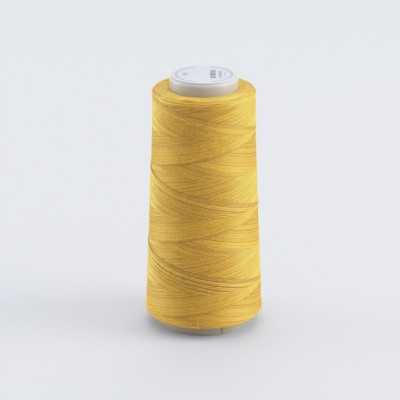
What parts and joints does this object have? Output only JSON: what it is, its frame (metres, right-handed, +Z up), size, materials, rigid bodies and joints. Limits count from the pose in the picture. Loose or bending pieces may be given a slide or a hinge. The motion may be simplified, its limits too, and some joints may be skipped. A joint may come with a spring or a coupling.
{
  "type": "cone of thread",
  "caption": "Small cone of yellow sewing thread, cross-wound on a tapered hollow plastic core that stands on its wide end, with a round paper label on top.",
  "frame": {"origin": "on the floor, at the middle of the core's wide end", "axes": "+Z up along the cone's axis, from the wide end to the label; -Y is the front"},
  "size_m": [0.0547, 0.0543, 0.12],
  "materials": {
    "core_plastic": "pale grey moulded plastic, satin",
    "thread": "golden yellow spun sewing thread, cross-wound, soft sheen",
    "label_paper": "smooth white coated paper with a plain grey ring"
  },
  "bodies": {
    "root": {"core": "core_plastic", "thread_package": "thread", "label": "label_paper"}
  },
  "joints": []
}
